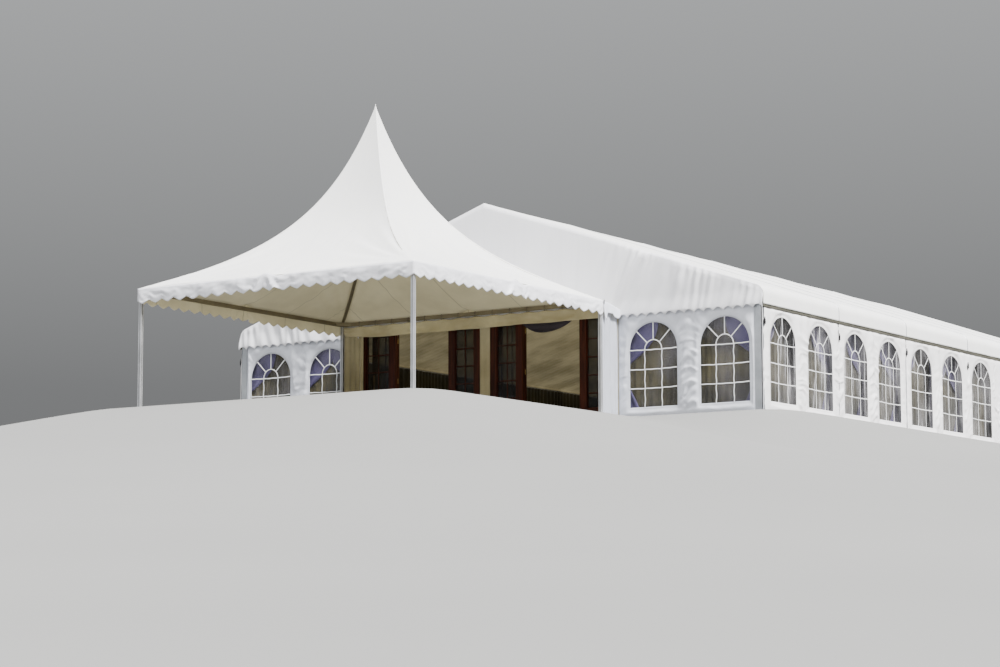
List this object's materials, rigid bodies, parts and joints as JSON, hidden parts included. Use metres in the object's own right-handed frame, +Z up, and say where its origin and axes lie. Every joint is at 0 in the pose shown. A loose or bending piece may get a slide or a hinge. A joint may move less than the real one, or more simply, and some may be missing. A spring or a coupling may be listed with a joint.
{
  "type": "marquee tent",
  "caption": "Gabled frame marquee with arched clear windows, double glazed doors and a square peaked canopy over its entrance.",
  "frame": {"origin": "on the ground, under the middle upright of the front gable", "axes": "+Y runs back along the marquee's length, +Z is up and +X runs along the front gable to the right as seen from the entrance"},
  "size_m": [12.0132, 24.7517, 5.6493],
  "materials": {
    "roof_pvc": "bright white coated PVC fabric, satin",
    "wall_pvc": "white coated PVC fabric, lightly creased",
    "clear_pvc": "clear flexible PVC with white printed glazing bars",
    "frame_alloy": "light grey anodised aluminium profile",
    "olive_rail": "dark olive grey, matte",
    "lining_cloth": "ivory to khaki lining cloth, matte",
    "curtain_voile": "lavender voile curtains, matte",
    "door_wood": "dark mahogany, satin"
  },
  "bodies": {
    "marquee": {"portal_frame_1": "frame_alloy", "portal_frame_2": "frame_alloy", "portal_frame_3": "frame_alloy", "portal_frame_4": "frame_alloy", "portal_frame_5": "frame_alloy", "portal_frame_6": "frame_alloy", "portal_frame_7": "frame_alloy", "eave_rail_left": "olive_rail", "eave_rail_right": "olive_rail", "ridge_purlin": "frame_alloy", "gable_frame_front": "frame_alloy", "gable_frame_back": "frame_alloy", "roof_sheet_1": "roof_pvc", "roof_sheet_2": "roof_pvc", "roof_sheet_3": "roof_pvc", "roof_sheet_4": "roof_pvc", "roof_sheet_5": "roof_pvc", "roof_sheet_6": "roof_pvc", "gable_sheet_front": "roof_pvc", "gable_sheet_back": "roof_pvc", "side_wall_left_1": "wall_pvc", "side_wall_left_2": "wall_pvc", "side_wall_left_3": "wall_pvc", "side_wall_right_1": "wall_pvc", "side_wall_right_2": "wall_pvc", "side_wall_right_3": "wall_pvc", "front_wall_left": "wall_pvc", "front_wall_centre": "wall_pvc", "front_wall_right": "wall_pvc", "back_wall": "wall_pvc", "side_windows_left": "clear_pvc", "side_windows_right": "clear_pvc", "front_windows_left": "clear_pvc", "front_windows_right": "clear_pvc", "back_windows": "clear_pvc", "side_curtains_left": "curtain_voile", "side_curtains_right": "curtain_voile", "front_curtains_left": "curtain_voile", "front_curtains_right": "curtain_voile", "back_curtains": "curtain_voile", "roof_lining": "lining_cloth", "door_set_left": "door_wood", "door_set_right": "door_wood", "canopy_roof": "roof_pvc", "canopy_eave_frame": "frame_alloy", "canopy_hip_frame": "frame_alloy", "canopy_leg_front_left": "frame_alloy", "canopy_leg_front_right": "frame_alloy", "canopy_leg_back_left": "frame_alloy", "canopy_leg_back_right": "frame_alloy", "canopy_finial": "frame_alloy", "link_gutter": "roof_pvc", "back_flap": "lining_cloth"},
    "door_left_left": {"door_leaf_left_left": "door_wood"},
    "door_left_right": {"door_leaf_left_right": "door_wood"},
    "door_right_left": {"door_leaf_right_left": "door_wood"},
    "door_right_right": {"door_leaf_right_right": "door_wood"}
  },
  "joints": [
    {"name": "door_left_left_hinge", "type": "hinge", "parent": "marquee", "child": "door_left_left", "pos_m": [-2.1225, 0.082, 0], "axis": [0, 0, -1], "range_deg": [0, 180]},
    {"name": "door_left_right_hinge", "type": "hinge", "parent": "marquee", "child": "door_left_right", "pos_m": [-0.8525, 0.082, 0], "axis": [0, 0, 1], "range_deg": [0, 180]},
    {"name": "door_right_left_hinge", "type": "hinge", "parent": "marquee", "child": "door_right_left", "pos_m": [0.8525, 0.082, 0], "axis": [0, 0, -1], "range_deg": [0, 180]},
    {"name": "door_right_right_hinge", "type": "hinge", "parent": "marquee", "child": "door_right_right", "pos_m": [2.1225, 0.082, 0], "axis": [0, 0, 1], "range_deg": [0, 180]}
  ]
}
